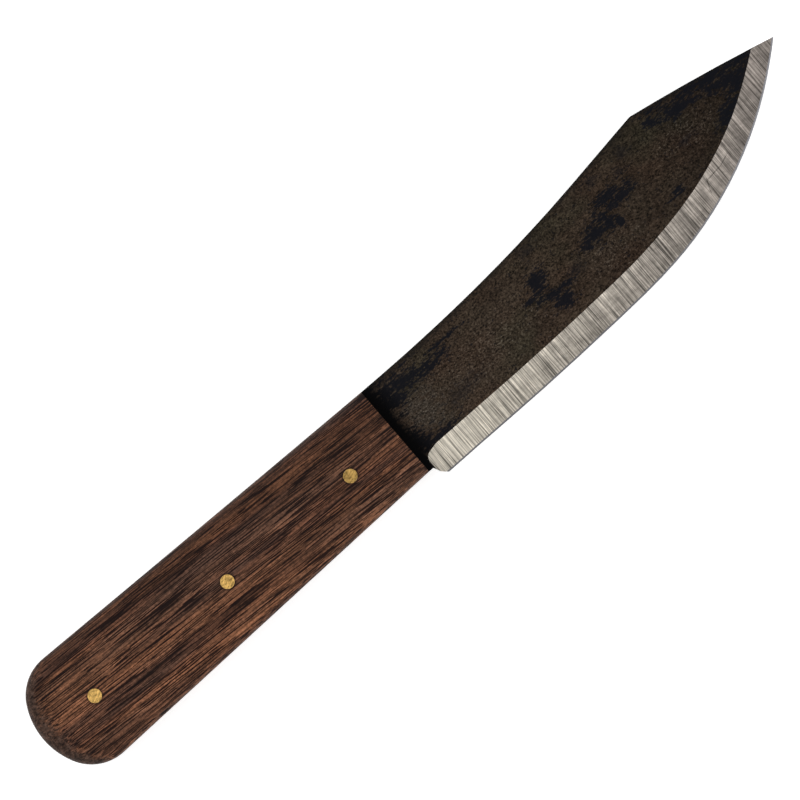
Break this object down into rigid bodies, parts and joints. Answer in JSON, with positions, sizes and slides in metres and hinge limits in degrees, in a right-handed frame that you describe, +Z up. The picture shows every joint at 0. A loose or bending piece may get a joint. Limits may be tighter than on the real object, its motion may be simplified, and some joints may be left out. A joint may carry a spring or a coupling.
{
  "type": "fixed-blade knife",
  "caption": "Full-tang fixed-blade knife with a deep curved belly, a humped clipped back and a rounded wooden handle, for skinning and leatherwork.",
  "frame": {"origin": "middle of the bounding box's bottom face, where the knife lying on its side meets the table", "axes": "+X along the handle towards the tip, +Y across the knife towards the back of the blade, +Z up through its thickness"},
  "size_m": [0.26, 0.039, 0.016],
  "materials": {
    "blade_steel": "carbon steel with dark forge scale left on its flats, and ground bright across the bevels",
    "handle_wood": "dark open-grained hardwood, oiled, half matt, grain along the handle",
    "pin_brass": "brass rod sanded flush with the wood, finely scratched"
  },
  "bodies": {
    "root": {"blade": "blade_steel", "upper_scale": "handle_wood", "lower_scale": "handle_wood", "front_pin": "pin_brass", "middle_pin": "pin_brass", "butt_pin": "pin_brass"}
  },
  "joints": []
}
